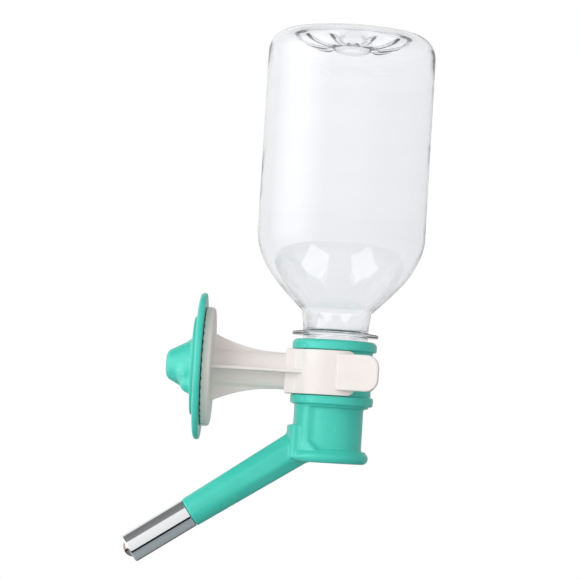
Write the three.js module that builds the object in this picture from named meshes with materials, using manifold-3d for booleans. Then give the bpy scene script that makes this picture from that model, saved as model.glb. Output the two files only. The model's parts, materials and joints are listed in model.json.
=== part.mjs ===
// Cage-mounted drinking bottle for a rabbit, modelled as an assembly of its separate pieces.
// Millimetres. The origin is the centre of the bracket disc's cage-side face, +Z is up along the
// bottle, and the cage lies towards -X.
import * as THREE from "three";
import { mergeVertices } from "three/addons/utils/BufferGeometryUtils.js";
import Module from "manifold-3d";

const wasm = await Module();
wasm.setup();

// Driving dimensions
const AXIS_X = 49.75; // distance from the cage face to the bottle's axis
const FINE = 36; // facets round a large turned shape
const COARSE = 24; // facets round a small turned shape

const bottle = {
  radius: 32.2,
  wall: 0.8,
  baseTop: 131.6,
  baseRound: 8.7,
  baseRingInner: 21,
  puntDepth: 4.6,
  cylinderBottom: 53,
  coneRadius: 24.6,
  coneTop: 35.4,
  coneSlope: 0.82,
  shoulderEase: 5.4, // reach of the blends between cylinder, cone and neck
  neckEase: 1.4,
  neckTop: 23.6,
  neckRadius: 13.2,
  finishRadius: 12.45,
  mouth: -5.4,
  ringRadius: 16.55,
  ringBottom: 14.3,
  ringTop: 15.6,
};
const neckThread = { pitch: 3.18, crest: 13.5, turns: 1.5, start: -2.6, root: 1.3, tip: 0.7 };

const nozzle = {
  top: 12.8,
  flangeRadius: 16.2,
  flangeRound: 2,
  grooveRadius: 14.8,
  grooveTop: 8.8,
  grooveBottom: -8.6,
  lowerFlangeRadius: 15.9,
  lowerFlangeBottom: -12,
  frameRadius: 14.15,
  coreRadius: 12.8,
  baseFlangeTop: -29.4,
  baseFlangeRadius: 15.2,
  baseFlangeRound: 2.4,
  bottom: -34.1,
  recessLeft: -7.3,
  recessChamfer: 3.7,
  boreRadius: 13.8,
  seatTop: -7.2,
  chamberRadius: 10.4,
  chamberFloor: -31.6,
};
const capThread = { crest: 12.75, turns: 2 };
const neckSeal = { outer: 12.4, inner: 10.7, bottom: -7, top: -5.55 };

const spout = {
  drop: 34.5, // degrees below level
  meetZ: -20.7, // height at which its axis crosses the bottle's
  length: 62.6,
  rootApothem: 7,
  endRadius: 5.85,
  boreRadius: 3.5,
  nippleRadius: 5.05,
  nippleLength: 9,
  collarRadius: 16.4,
  collarTop: -20.2,
  collarHalfWidth: 8.6,
};
const tube = { outer: 5.72, inner: 5.25, exposed: 27, lip: 3.65, lipThickness: 0.35, rootGap: 0.2 };
const ballRadius = 4;
const seatGap = 0.15;
const oRing = { ringRadius: 4.72, section: 0.43, from: 4.2, glandHalf: 0.55 };
const springSeat = { flangeRadius: 4.8, flange: 1, skirtRadius: 3.25, skirt: 3, hole: 2.2 };
const spring = { coilRadius: 2.9, wireRadius: 0.3, turns: 5 };

const clip = {
  inner: 15,
  outer: 16.95,
  top: 8.6,
  bottom: -8.4,
  rootAngle: 131, // degrees round from +X where the free arms begin
  tipAngle: 61,
  saddleX: 31.4,
  saddleHalf: 9,
  rootGap: 1.5, // degrees left at the flexing root
  tabStart: 51.4,
  tabLength: 16.2,
  tabFlare: 14, // degrees out from the clip's tangent
  tabThickness: 2.2,
  tabHalfHeight: 6.9,
  tabMiddle: 0.5,
  tabCorner: 4.2,
  tabOverlap: 1.1, // depth of the tab's root in the band
  endCorner: 3,
};
const arm = {
  halfHeight: 7,
  halfWidth: 4.2,
  gussetHeight: 13.4,
  gussetEnd: 27,
  gussetMiddle: 13,
  gussetRise: 0.9,
  gussetHalf: 0.9,
  ribWidth: 12.6,
  ribHalf: 0.65,
  ribEnd: 38.3,
};
const disc = { radius: 22.8, thickness: 3.5, teeth: 40, toothDepth: 0.7, toothInner: 19.6 };

const plate = {
  radius: 28.1,
  inner: 0.3,
  outer: 3,
  flatRadius: 19,
  bevelRadius: 25,
  bevelDrop: 0.4,
  rimThickness: 1.5,
  hole: 6.8,
  counterbore: 7.8,
  counterboreDepth: 1.2,
};
const knob = {
  stepRadius: 18.85,
  stepInner: 3.2,
  stepOuter: 4.2,
  hubRadius: 6.5,
  lipRadius: 7.3,
  lipThickness: 0.7,
  hubInner: 0.5,
  wingTip: 14.5,
  wingEnd: 7.9,
  wingFlat: 2.5,
  wingSlopeEnd: 13,
  wingReach: 17.6,
  wingHalf: 3.2,
  wingFoot: 4.4,
  wingTurn: -32, // degrees of the grip from level
  bossRadius: 6.6,
  bossShoulder: 8.8,
  bossTop: 11.6,
};
const stud = { root: 3.2, crest: 3.9, pitch: 2, shank: 3.7, end: 9.4, depth: 12, threadFrom: 1.7 };
const insert = { outer: 5.1, inner: 0.8, length: 7.4, bore: 4.2, crest: 3.5, turns: 2.5 };
const embed = 0.5; // depth by which joined solids run into each other

// Materials
const moulding = (color, roughness, metalness = 0) =>
  new THREE.MeshStandardMaterial({ color, roughness, metalness });
const mint = moulding("#4cd0b0", 0.35);
const cream = moulding("#f1ece9", 0.45);
const clearPet = moulding("#e8eef2", 0.05);
const silicone = moulding("#d9dcdc", 0.6);
const stainless = moulding("#c9ccd0", 0.12, 1);
const springSteel = moulding("#a9acb0", 0.3, 1);
const brass = moulding("#c9a75a", 0.35, 1);

// Solids from three.js geometry
const radians = THREE.MathUtils.degToRad;
const WELD = 1e-4;

function solidFrom(geometry) {
  const bare = new THREE.BufferGeometry();
  bare.setAttribute("position", geometry.getAttribute("position"));
  bare.setIndex(geometry.index);
  const merged = mergeVertices(bare, WELD);
  const corners = merged.index.array;
  const kept = [];
  for (let i = 0; i < corners.length; i += 3) {
    const [a, b, c] = [corners[i], corners[i + 1], corners[i + 2]];
    if (a !== b && b !== c && c !== a) kept.push(a, b, c);
  }
  return new wasm.Manifold(
    new wasm.Mesh({
      numProp: 3,
      vertProperties: merged.attributes.position.array,
      triVerts: new Uint32Array(kept),
    }),
  );
}

const upright = new THREE.Matrix4();

// A solid of revolution about Z. The profile lists [radius, z] counter-clockwise; it closes on
// itself unless it starts and ends on the axis.
function turned(profile, segments = FINE, frame = upright) {
  const points = profile.map(([r, z]) => new THREE.Vector2(r, z));
  const onAxis = profile[0][0] === 0 && profile.at(-1)[0] === 0;
  if (!onAxis) points.push(points[0].clone());
  const geometry = new THREE.LatheGeometry(points, segments);
  geometry.rotateX(Math.PI / 2).applyMatrix4(frame);
  return solidFrom(geometry);
}

const rod = (radius, low, high, segments = COARSE, frame = upright) =>
  turned([[0, low], [radius, low], [radius, high], [0, high]], segments, frame);

const ring = (inner, outer, low, high, segments = FINE, frame = upright) =>
  turned([[inner, low], [outer, low], [outer, high], [inner, high]], segments, frame);

function block(low, high) {
  const size = high.map((v, i) => v - low[i]);
  const geometry = new THREE.BoxGeometry(...size);
  geometry.translate(...high.map((v, i) => (v + low[i]) / 2));
  return solidFrom(geometry);
}

// An outline in the XZ plane, given thickness along Y between two planes.
function sidePrism(shape, lowY, highY, curveSegments = 6) {
  const geometry = new THREE.ExtrudeGeometry(shape, {
    depth: highY - lowY,
    bevelEnabled: false,
    curveSegments,
  });
  geometry.rotateX(Math.PI / 2).translate(0, highY, 0);
  return solidFrom(geometry);
}

// An outline in the XY plane, given thickness along Z between two heights.
function flatPrism(shape, low, high, curveSegments = 6) {
  const settings = { depth: high - low, bevelEnabled: false, curveSegments };
  const geometry = new THREE.ExtrudeGeometry(shape, settings);
  geometry.translate(0, 0, low);
  return solidFrom(geometry);
}

const outline = (points) => new THREE.Shape(points.map(([x, y]) => new THREE.Vector2(x, y)));

// A closed body through a row of sections, each the same count of points round a convex outline.
function lofted(sections) {
  const count = sections[0].length;
  const positions = sections.flat().flatMap((p) => [p.x, p.y, p.z]);
  const last = (sections.length - 1) * count;
  const faces = [];
  for (let s = 0; s < last; s += count) {
    for (let j = 0; j < count; j++) {
      const k = (j + 1) % count;
      faces.push([s + j, s + k, s + count + k], [s + j, s + count + k, s + count + j]);
    }
  }
  for (let j = 1; j < count - 1; j++) {
    faces.push([0, j + 1, j], [last, last + j, last + j + 1]);
  }
  const corner = (i) => new THREE.Vector3().fromArray(positions, 3 * i);
  const volume = faces.reduce(
    (sum, [a, b, c]) => sum + corner(a).dot(corner(b).cross(corner(c))),
    0,
  );
  const outward = volume > 0 ? faces : faces.map(([a, b, c]) => [a, c, b]);
  const geometry = new THREE.BufferGeometry();
  geometry.setAttribute("position", new THREE.Float32BufferAttribute(positions, 3));
  geometry.setIndex(outward.flat());
  return solidFrom(geometry);
}

// A right-handed thread ridge from the radius base to the radius crest, run out at both ends.
function threadRidge({ base, crest, pitch, start, turns, root, tip, perTurn = 18 }) {
  const steps = Math.round(turns * perTurn);
  const runOut = perTurn / 5;
  const sections = [];
  for (let i = 0; i <= steps; i++) {
    const angle = (2 * Math.PI * i) / perTurn;
    const z = start + (pitch * i) / perTurn;
    const rise = Math.min(1, (i + 0.4) / runOut, (steps - i + 0.4) / runOut);
    const top = base + (crest - base) * (0.35 + 0.65 * rise);
    const corners = [[base, -root / 2], [top, -tip / 2], [top, tip / 2], [base, root / 2]];
    sections.push(
      corners.map(([r, dz]) =>
        new THREE.Vector3(r * Math.cos(angle), r * Math.sin(angle), z + dz),
      ),
    );
  }
  return lofted(sections);
}

const arc = (centre, radius, from, to, steps) =>
  Array.from({ length: steps + 1 }, (_, i) => {
    const angle = radians(from + ((to - from) * i) / steps);
    return [centre[0] + radius * Math.cos(angle), centre[1] + radius * Math.sin(angle)];
  });

const curve = (steps, ...points) =>
  new THREE.CubicBezierCurve(...points.map(([x, y]) => new THREE.Vector2(x, y)))
    .getPoints(steps)
    .map((p) => [p.x, p.y]);

// Frames: the bottle's axis, the spout's axis pointing out of its mouth, and the clamp's axis
// pointing out of the cage face.
const bottleFrame = new THREE.Matrix4().makeTranslation(AXIS_X, 0, 0);
const spoutAngle = radians(spout.drop);
const spoutOut = new THREE.Vector3(-Math.cos(spoutAngle), 0, -Math.sin(spoutAngle));
const spoutUp = new THREE.Vector3(-Math.sin(spoutAngle), 0, Math.cos(spoutAngle));
const spoutSide = new THREE.Vector3().crossVectors(spoutUp, spoutOut);
const spoutFrame = new THREE.Matrix4()
  .makeBasis(spoutSide, spoutUp, spoutOut)
  .setPosition(0, 0, spout.meetZ);
const clampFrame = new THREE.Matrix4().makeBasis(
  new THREE.Vector3(0, -1, 0),
  new THREE.Vector3(0, 0, 1),
  new THREE.Vector3(-1, 0, 0),
);

// Stations along the spout's axis
const nippleEnd = spout.length + spout.nippleLength;
const seatTop = nippleEnd + seatGap + springSeat.flange;
const tubeTip = spout.length + tube.exposed;
const lipPlane = tubeTip - tube.lipThickness;
const ballCentre = lipPlane - Math.sqrt(ballRadius ** 2 - tube.lip ** 2) - 0.03;

function group(frame) {
  const made = new THREE.Group();
  made.applyMatrix4(frame);
  return made;
}

function piece(name, solid, material) {
  const data = solid.getMesh();
  const geometry = new THREE.BufferGeometry();
  geometry.setAttribute("position", new THREE.BufferAttribute(data.vertProperties, 3));
  geometry.setIndex(new THREE.BufferAttribute(data.triVerts, 1));
  geometry.computeVertexNormals();
  const mesh = new THREE.Mesh(geometry, material);
  mesh.name = name;
  return mesh;
}

// Bottle: one blown skin, open at the mouth, with its moulded neck finish.
function bottleSkin(inset) {
  const b = bottle;
  const radius = b.radius - inset;
  const top = b.baseTop - inset;
  const baseRound = b.baseRound - inset;
  const ease = b.shoulderEase;
  const shoulder = curve(
    5,
    [b.coneRadius - inset, b.coneTop],
    [b.coneRadius + b.coneSlope * ease - inset, b.coneTop + ease],
    [radius, b.cylinderBottom - ease],
    [radius, b.cylinderBottom],
  );
  const cone = curve(
    3,
    [b.neckRadius - inset, b.neckTop],
    [b.neckRadius + b.neckEase - inset, b.neckTop + b.neckEase],
    [b.coneRadius - b.coneSlope * ease - inset, b.coneTop - ease],
    [b.coneRadius - inset, b.coneTop],
  );
  const shoulderOnly = shoulder.slice(1);
  const base = arc([radius - baseRound, top - baseRound], baseRound, 0, 90, 4);
  const ringEdge = b.baseRingInner + inset;
  const punt = curve(
    3,
    [ringEdge, top],
    [ringEdge - 3, top - 3.4],
    [10, top - b.puntDepth],
    [0, top - b.puntDepth],
  );
  return [...cone, ...shoulderOnly, ...base, ...punt];
}

function makeBottle() {
  const b = bottle;
  const neckInner = b.finishRadius - 1.6;
  const finish = [
    [neckInner, b.mouth],
    [b.finishRadius, b.mouth],
    [b.finishRadius, b.ringBottom],
    [b.ringRadius, b.ringBottom],
    [b.ringRadius, b.ringTop],
    [b.finishRadius, b.ringTop + 0.5],
  ];
  const body = turned([
    [0, b.mouth],
    ...finish.slice(1),
    ...bottleSkin(0),
  ]);
  const hollow = turned([
    [0, b.mouth - 1],
    [neckInner, b.mouth - 1],
    [neckInner, b.neckTop - 2],
    ...bottleSkin(b.wall),
  ]);
  const ridge = threadRidge({ ...neckThread, base: b.finishRadius - 0.3 });
  return body.add(ridge).subtract(hollow);
}

// Nozzle body: threaded cap, clip groove, framed lower body and hollow spout in one moulding.
function spoutSections() {
  const { rootApothem, endRadius, length } = spout;
  const points = 32;
  const stations = [0, 0.25, 0.45, 0.65, 0.85, 1];
  return stations.map((station) => {
    const flat = rootApothem + (endRadius - rootApothem) * station;
    const roundness = THREE.MathUtils.smoothstep(station, 0.3, 1);
    return Array.from({ length: points }, (_, i) => {
      const angle = (2 * Math.PI * i) / points;
      const fromFlat = ((angle + Math.PI / 8) % (Math.PI / 4)) - Math.PI / 8;
      const octagon = Math.min(flat / Math.cos(fromFlat), flat * 1.06);
      const r = THREE.MathUtils.lerp(octagon, flat, roundness);
      const point = new THREE.Vector3(r * Math.cos(angle), r * Math.sin(angle), length * station);
      return point.applyMatrix4(spoutFrame);
    });
  });
}

function makeNozzleBody() {
  const n = nozzle;
  const round = n.flangeRound;
  const rim = arc([n.flangeRadius - round, n.top - round], round, 0, 90, 4);
  const foot = n.baseFlangeRound;
  const skin = turned([
    [0, n.bottom],
    [n.baseFlangeRadius - foot, n.bottom],
    ...arc([n.baseFlangeRadius - foot, n.bottom + foot], foot, -60, 90, 5),
    [n.frameRadius, n.baseFlangeTop],
    [n.frameRadius, n.lowerFlangeBottom - 0.6],
    [n.lowerFlangeRadius - 0.6, n.lowerFlangeBottom],
    [n.lowerFlangeRadius, n.lowerFlangeBottom + 0.6],
    [n.lowerFlangeRadius, n.grooveBottom],
    [n.grooveRadius, n.grooveBottom],
    [n.grooveRadius, n.grooveTop],
    [n.flangeRadius, n.grooveTop],
    ...rim,
    [0, n.top],
  ]);
  const recessTop = n.lowerFlangeBottom - 0.7;
  const beyond = 20;
  const recessOutline = outline([
    [n.recessLeft, recessTop],
    [n.recessLeft, n.baseFlangeTop + n.recessChamfer],
    [n.recessLeft + n.recessChamfer, n.baseFlangeTop],
    [beyond, n.baseFlangeTop],
    [beyond, recessTop],
  ]);
  const recess = sidePrism(recessOutline, -beyond, beyond).subtract(
    rod(n.coreRadius, n.bottom - 1, n.top, FINE),
  );
  const collarOutline = outline([
    [-beyond, spout.collarTop],
    [-9, spout.collarTop],
    [-9, -27],
    [-3, n.bottom + 1],
    [-beyond, n.bottom + 1],
  ]);
  const half = spout.collarHalfWidth;
  const collar = sidePrism(collarOutline, -half, half).intersect(
    rod(spout.collarRadius, n.bottom + 1, spout.collarTop, FINE),
  );
  const nipple = rod(spout.nippleRadius, spout.length - 2, nippleEnd, COARSE, spoutFrame);
  const glandMiddle = spout.length + oRing.from;
  const gland = ring(
    oRing.ringRadius - oRing.section - 0.05,
    tube.outer + 0.3,
    glandMiddle - oRing.glandHalf,
    glandMiddle + oRing.glandHalf,
    COARSE,
    spoutFrame,
  );
  const bore = turned([
    [0, n.chamberFloor],
    [n.chamberRadius, n.chamberFloor],
    [n.chamberRadius, n.seatTop],
    [n.boreRadius, n.seatTop],
    [n.boreRadius, n.top + 1],
    [0, n.top + 1],
  ]);
  const waterway = rod(spout.boreRadius, 6, nippleEnd + 1, COARSE, spoutFrame);
  const ridge = threadRidge({
    ...neckThread,
    ...capThread,
    base: n.boreRadius + 0.3,
    start: neckThread.start - neckThread.pitch / 2,
  });
  return skin
    .subtract(recess)
    .add(collar)
    .add(lofted(spoutSections()))
    .add(nipple)
    .subtract(gland)
    .subtract(bore)
    .subtract(waterway)
    .add(ridge);
}

// Drinking tube and its valve, built along the spout's axis.
function makeTube() {
  const root = spout.length + tube.rootGap;
  return turned([
    [tube.inner, root],
    [tube.outer, root],
    [tube.outer, tubeTip - 0.5],
    [tube.outer - 0.15, tubeTip - 0.15],
    [tube.outer - 0.5, tubeTip],
    [tube.lip, tubeTip],
    [tube.lip, lipPlane],
    [tube.inner - 0.2, lipPlane],
    [tube.inner, lipPlane - 0.3],
  ]);
}

function makeBall() {
  const geometry = new THREE.SphereGeometry(ballRadius, 24, 14);
  geometry.rotateX(Math.PI / 2).translate(0, 0, ballCentre);
  return solidFrom(geometry);
}

function makeSpringSeat() {
  const s = springSeat;
  return turned(
    [
      [s.hole, nippleEnd - s.skirt],
      [s.skirtRadius, nippleEnd - s.skirt],
      [s.skirtRadius, nippleEnd + seatGap],
      [s.flangeRadius, nippleEnd + seatGap],
      [s.flangeRadius, seatTop],
      [s.hole, seatTop],
    ],
    COARSE,
  );
}

function makeSpring() {
  const s = spring;
  const reach = Math.sqrt(ballRadius ** 2 - s.coilRadius ** 2);
  const low = seatTop + s.wireRadius + 0.1;
  const high = ballCentre - reach - s.wireRadius - 0.35;
  const perTurn = 12;
  const steps = s.turns * perTurn;
  const sections = [];
  for (let i = 0; i <= steps; i++) {
    const angle = (2 * Math.PI * i) / perTurn;
    const z = low + ((high - low) * i) / steps;
    const outwards = new THREE.Vector3(Math.cos(angle), Math.sin(angle), 0);
    sections.push(
      arc([0, 0], s.wireRadius, 0, 300, 5).map(([out, up]) =>
        outwards.clone().multiplyScalar(s.coilRadius + out).setZ(z + up),
      ),
    );
  }
  return lofted(sections);
}

function makeORing() {
  const centre = [oRing.ringRadius, spout.length + oRing.from];
  return turned(arc(centre, oRing.section, 0, 324, 9), COARSE);
}

// Bracket: toothed disc, ribbed arm and the saddle that the clip's free arms grow from.
function makeDisc() {
  const { radius, thickness, teeth, toothDepth, toothInner } = disc;
  let solid = turned(
    [
      [0, -thickness],
      [radius - 0.8, -thickness],
      [radius, -thickness + 0.8],
      [radius, -0.4],
      [radius - 0.4, 0],
      [0, 0],
    ],
    FINE,
    clampFrame,
  );
  const notch = new THREE.Shape();
  notch.moveTo(0.1, -1.1);
  notch.lineTo(0.1, 1.1);
  notch.lineTo(-toothDepth, 0);
  const notchLength = 4;
  for (let i = 0; i < teeth; i++) {
    const cut = new THREE.ExtrudeGeometry(notch, { depth: notchLength, bevelEnabled: false });
    cut.scale(-1, 1, -1).translate(0, 0, toothInner + notchLength);
    cut.rotateX((2 * Math.PI * (i + 0.5)) / teeth);
    solid = solid.subtract(solidFrom(cut));
  }
  return solid;
}

// The arm's round core with a curved gusset above and below it and a level rib across it.
function makeArm() {
  const a = arm;
  const start = disc.thickness - embed;
  const length = clip.saddleX + embed - start;
  const core = new THREE.CylinderGeometry(1, 1, length, COARSE);
  core.rotateZ(Math.PI / 2).scale(1, a.halfWidth, a.halfHeight).translate(start + length / 2, 0, 0);
  const gusset = new THREE.Shape();
  const join = a.halfHeight - 0.1;
  const middle = a.halfHeight + a.gussetRise;
  gusset.moveTo(start, a.gussetHeight);
  gusset.quadraticCurveTo(a.gussetMiddle, middle, a.gussetEnd, join);
  gusset.lineTo(a.gussetEnd, -join);
  gusset.quadraticCurveTo(a.gussetMiddle, -middle, start, -a.gussetHeight);
  const rib = outline([
    [start, -a.ribWidth],
    [a.ribEnd, -a.ribWidth],
    [a.ribEnd, a.ribWidth],
    [start, a.ribWidth],
  ]);
  return solidFrom(core)
    .add(sidePrism(gusset, -a.gussetHalf, a.gussetHalf, 8))
    .add(flatPrism(rib, -a.ribHalf, a.ribHalf));
}

function makeBracket() {
  const { inner, outer, bottom, top, saddleX, saddleHalf, rootAngle } = clip;
  const rootX = AXIS_X + outer * Math.cos(radians(rootAngle));
  const saddle = block([saddleX, -saddleHalf, bottom], [rootX - 2, saddleHalf, top]);
  const back = block([saddleX, -outer, bottom - 1], [rootX, outer, top + 1]);
  const ringBack = ring(inner, outer, bottom, top, FINE, bottleFrame).intersect(back);
  const clearance = rod(inner, bottom - 1, top + 1, FINE, bottleFrame);
  const studHole = rod(stud.shank + 0.12, -stud.depth - 0.2, 1, COARSE, clampFrame);
  return makeDisc()
    .add(makeArm())
    .add(saddle)
    .add(ringBack)
    .subtract(clearance)
    .subtract(studHole);
}

// The clip's rear free arm with its flared finger tab; the front one is its mirror image.
function makeClipArm() {
  const c = clip;
  const at = (radius, angle) => arc([0, 0], radius, angle, angle, 1)[0];
  const steps = 12;
  const start = c.rootAngle - c.rootGap;
  const angles = Array.from(
    { length: steps + 1 },
    (_, i) => start + ((c.tipAngle - start) * i) / steps,
  );
  const band = outline([
    ...angles.map((angle) => at(c.outer, angle)),
    ...angles.toReversed().map((angle) => at(c.inner, angle)),
  ]);
  const beyond = 20;
  const tipX = c.outer * Math.cos(radians(c.tipAngle)) + 0.2;
  const corner = c.endCorner;
  const side = new THREE.Shape();
  side.moveTo(-beyond, c.bottom - 1);
  side.lineTo(tipX - corner, c.bottom - 1);
  side.lineTo(tipX - corner, c.bottom);
  side.absarc(tipX - corner, c.bottom + corner, corner, -Math.PI / 2, 0, false);
  side.absarc(tipX - corner, c.top - corner, corner, 0, Math.PI / 2, false);
  side.lineTo(tipX - corner, c.top + 1);
  side.lineTo(-beyond, c.top + 1);
  const rounded = flatPrism(band, c.bottom, c.top).intersect(sidePrism(side, -1, beyond));
  const tab = new THREE.Shape();
  const [h, r] = [c.tabHalfHeight, c.tabCorner];
  tab.moveTo(0, -h);
  tab.lineTo(c.tabLength - r, -h);
  tab.absarc(c.tabLength - r, -h + r, r, -Math.PI / 2, 0, false);
  tab.absarc(c.tabLength - r, h - r, r, 0, Math.PI / 2, false);
  tab.lineTo(0, h);
  const tabPlate = new THREE.ExtrudeGeometry(tab, {
    depth: c.tabThickness,
    bevelEnabled: false,
    curveSegments: 5,
  });
  tabPlate.rotateX(Math.PI / 2).translate(0, c.tabThickness, 0);
  tabPlate.rotateZ(radians(c.tabFlare));
  tabPlate.translate(c.tabStart - AXIS_X, c.outer - c.tabOverlap, c.tabMiddle);
  return rounded.add(solidFrom(tabPlate)).subtract(rod(c.inner, -beyond, beyond, FINE));
}

// Cage clamp, built along the clamp's axis with z pointing out of the bracket's cage face.
function makeStud() {
  const s = stud;
  const shaft = turned(
    [
      [0, -s.depth],
      [s.shank, -s.depth],
      [s.shank, 0.6],
      [s.root, 0.6],
      [s.root, s.end - 0.6],
      [s.root - 0.6, s.end],
      [0, s.end],
    ],
    COARSE,
  );
  const ridge = threadRidge({
    base: s.root - 0.2,
    crest: s.crest,
    pitch: s.pitch,
    start: s.threadFrom,
    turns: (s.end - s.threadFrom - 1.1) / s.pitch,
    root: 0.9,
    tip: 0.4,
    perTurn: 14,
  });
  return shaft.add(ridge);
}

function makeClampPlate() {
  const p = plate;
  return turned([
    [p.counterbore, p.inner],
    [p.radius - 0.5, p.inner],
    [p.radius, p.inner + 0.5],
    [p.radius - 0.3, p.inner + p.rimThickness],
    [p.bevelRadius, p.outer - p.bevelDrop],
    [p.flatRadius, p.outer],
    [p.hole, p.outer],
    [p.hole, p.inner + p.counterboreDepth],
    [p.counterbore, p.inner + p.counterboreDepth],
  ]);
}

// The grip's height above the cage face at a distance along it from its middle.
function gripHeight(reach) {
  const { wingTip, wingEnd, wingFlat, wingSlopeEnd, wingReach, stepOuter } = knob;
  const base = stepOuter - embed;
  const slope = THREE.MathUtils.smoothstep(Math.abs(reach), wingFlat, wingSlopeEnd);
  const roundOff = Math.sqrt(1 - Math.min(1, Math.abs(reach) / wingReach) ** 10);
  return base + (THREE.MathUtils.lerp(wingTip, wingEnd, slope) - base) * roundOff;
}

function makeWingKnob() {
  const k = knob;
  const step = turned([
    [0, k.stepInner],
    [k.stepRadius, k.stepInner],
    [k.stepRadius, k.stepOuter - 0.4],
    [k.stepRadius - 0.4, k.stepOuter],
    [0, k.stepOuter],
  ]);
  const hub = turned(
    [
      [0, k.hubInner],
      [k.lipRadius - 0.3, k.hubInner],
      [k.lipRadius, k.hubInner + k.lipThickness / 2],
      [k.hubRadius, k.hubInner + k.lipThickness],
      [k.hubRadius, k.stepInner + embed],
      [0, k.stepInner + embed],
    ],
    COARSE,
  );
  const boss = turned(
    [
      [0, k.stepInner + embed],
      [k.bossRadius, k.stepInner + embed],
      [k.bossRadius, k.bossShoulder],
      [k.bossRadius - 1.7, k.bossTop],
      [0, k.bossTop + 0.8],
    ],
    COARSE,
  );
  const stations = [-1, -0.985, -0.93, -0.8, -0.66, -0.52, -0.38, -0.22];
  const turn = new THREE.Matrix4().makeRotationZ(radians(k.wingTurn));
  const low = k.stepOuter - embed;
  const sections = [...stations, 0, ...stations.map((v) => -v).reverse()].map((station) => {
    const reach = station * k.wingReach;
    const top = Math.max(gripHeight(reach), k.stepOuter - 0.3);
    const narrow = THREE.MathUtils.smoothstep(Math.abs(reach), k.wingReach - 4, k.wingReach);
    const foot = k.wingFoot * Math.sqrt(1 - 0.8 * narrow ** 2);
    const lean = THREE.MathUtils.lerp(k.wingFoot, k.wingHalf, Math.min(1, (top - low) / 9));
    return arc([0, 0], 1, 0, 180, 8).map(([across, up]) => {
      const half = THREE.MathUtils.lerp(foot, Math.min(foot, lean), up);
      const bulge = Math.sign(across) * Math.abs(across) ** 0.55;
      const height = low + (top - low) * up ** 0.8;
      return new THREE.Vector3(reach, half * bulge, height).applyMatrix4(turn);
    });
  });
  const boreTop = insert.inner + insert.length + 0.15;
  const bore = turned(
    [
      [0, 0],
      [insert.outer + 0.12, 0],
      [insert.outer + 0.12, boreTop],
      [stud.crest + 0.3, boreTop],
      [stud.crest + 0.3, stud.end + 1],
      [0, stud.end + 1],
    ],
    COARSE,
  );
  return step.add(hub).add(boss).add(lofted(sections)).subtract(bore);
}

function makeInsert() {
  const i = insert;
  const shell = ring(i.bore, i.outer, i.inner, i.inner + i.length, COARSE);
  const ridge = threadRidge({
    base: i.bore + 0.2,
    crest: i.crest,
    pitch: stud.pitch,
    start: stud.threadFrom + stud.pitch / 2,
    turns: i.turns,
    root: 0.8,
    tip: 0.4,
    perTurn: 14,
  });
  return shell.add(ridge);
}

// Assembly
const root = new THREE.Group();
const bottleGroup = group(bottleFrame);
const spoutGroup = group(spoutFrame);
const clampGroup = group(clampFrame);
root.add(bottleGroup, clampGroup);
bottleGroup.add(spoutGroup);

root.add(piece("bracket", makeBracket(), cream));
const frontArm = piece("clip_arm_front", makeClipArm(), cream);
frontArm.scale.y = -1;
bottleGroup.add(
  frontArm,
  piece("clip_arm_rear", makeClipArm(), cream),
  piece("bottle", makeBottle(), clearPet),
  piece("neck_seal", ring(neckSeal.inner, neckSeal.outer, neckSeal.bottom, neckSeal.top), silicone),
  piece("nozzle_body", makeNozzleBody(), mint),
);
spoutGroup.add(
  piece("drinking_tube", makeTube(), stainless),
  piece("valve_ball", makeBall(), stainless),
  piece("valve_spring", makeSpring(), springSteel),
  piece("spring_seat", makeSpringSeat(), cream),
  piece("tube_o_ring", makeORing(), silicone),
);
clampGroup.add(
  piece("clamp_stud", makeStud(), stainless),
  piece("clamp_plate", makeClampPlate(), mint),
  piece("wing_knob", makeWingKnob(), mint),
  piece("knob_insert", makeInsert(), brass),
);

export default root;
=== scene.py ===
import json
import math

import bmesh
import bpy
import numpy as np
from mathutils import Matrix, Vector


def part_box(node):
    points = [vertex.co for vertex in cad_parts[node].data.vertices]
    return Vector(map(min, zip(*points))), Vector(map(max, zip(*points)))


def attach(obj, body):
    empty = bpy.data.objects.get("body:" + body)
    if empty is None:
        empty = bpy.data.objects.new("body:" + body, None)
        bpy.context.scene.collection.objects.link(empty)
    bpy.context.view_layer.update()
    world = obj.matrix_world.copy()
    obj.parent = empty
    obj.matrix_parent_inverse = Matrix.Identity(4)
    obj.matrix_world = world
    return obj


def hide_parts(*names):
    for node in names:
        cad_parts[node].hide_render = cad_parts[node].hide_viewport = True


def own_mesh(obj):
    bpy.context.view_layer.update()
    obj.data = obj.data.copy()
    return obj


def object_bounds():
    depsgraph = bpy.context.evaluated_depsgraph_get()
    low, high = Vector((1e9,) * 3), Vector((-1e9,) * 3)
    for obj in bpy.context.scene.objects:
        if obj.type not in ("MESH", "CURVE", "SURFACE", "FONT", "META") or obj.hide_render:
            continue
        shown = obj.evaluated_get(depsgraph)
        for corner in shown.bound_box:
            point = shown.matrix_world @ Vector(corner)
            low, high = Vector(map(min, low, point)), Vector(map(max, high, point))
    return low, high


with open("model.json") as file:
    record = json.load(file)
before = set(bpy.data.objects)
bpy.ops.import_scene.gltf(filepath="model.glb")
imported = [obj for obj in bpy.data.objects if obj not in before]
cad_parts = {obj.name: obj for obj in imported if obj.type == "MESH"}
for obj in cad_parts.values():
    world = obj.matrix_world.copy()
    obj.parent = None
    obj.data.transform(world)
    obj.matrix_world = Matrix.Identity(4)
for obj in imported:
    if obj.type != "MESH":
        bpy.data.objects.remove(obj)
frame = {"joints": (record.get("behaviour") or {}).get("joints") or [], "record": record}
cad_low, cad_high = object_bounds()

# Shapes are worked out in millimetres and made in metres.
MM = 0.001


def box_mm(node):
    low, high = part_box(node)
    return np.array(low) / MM, np.array(high) / MM


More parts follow.
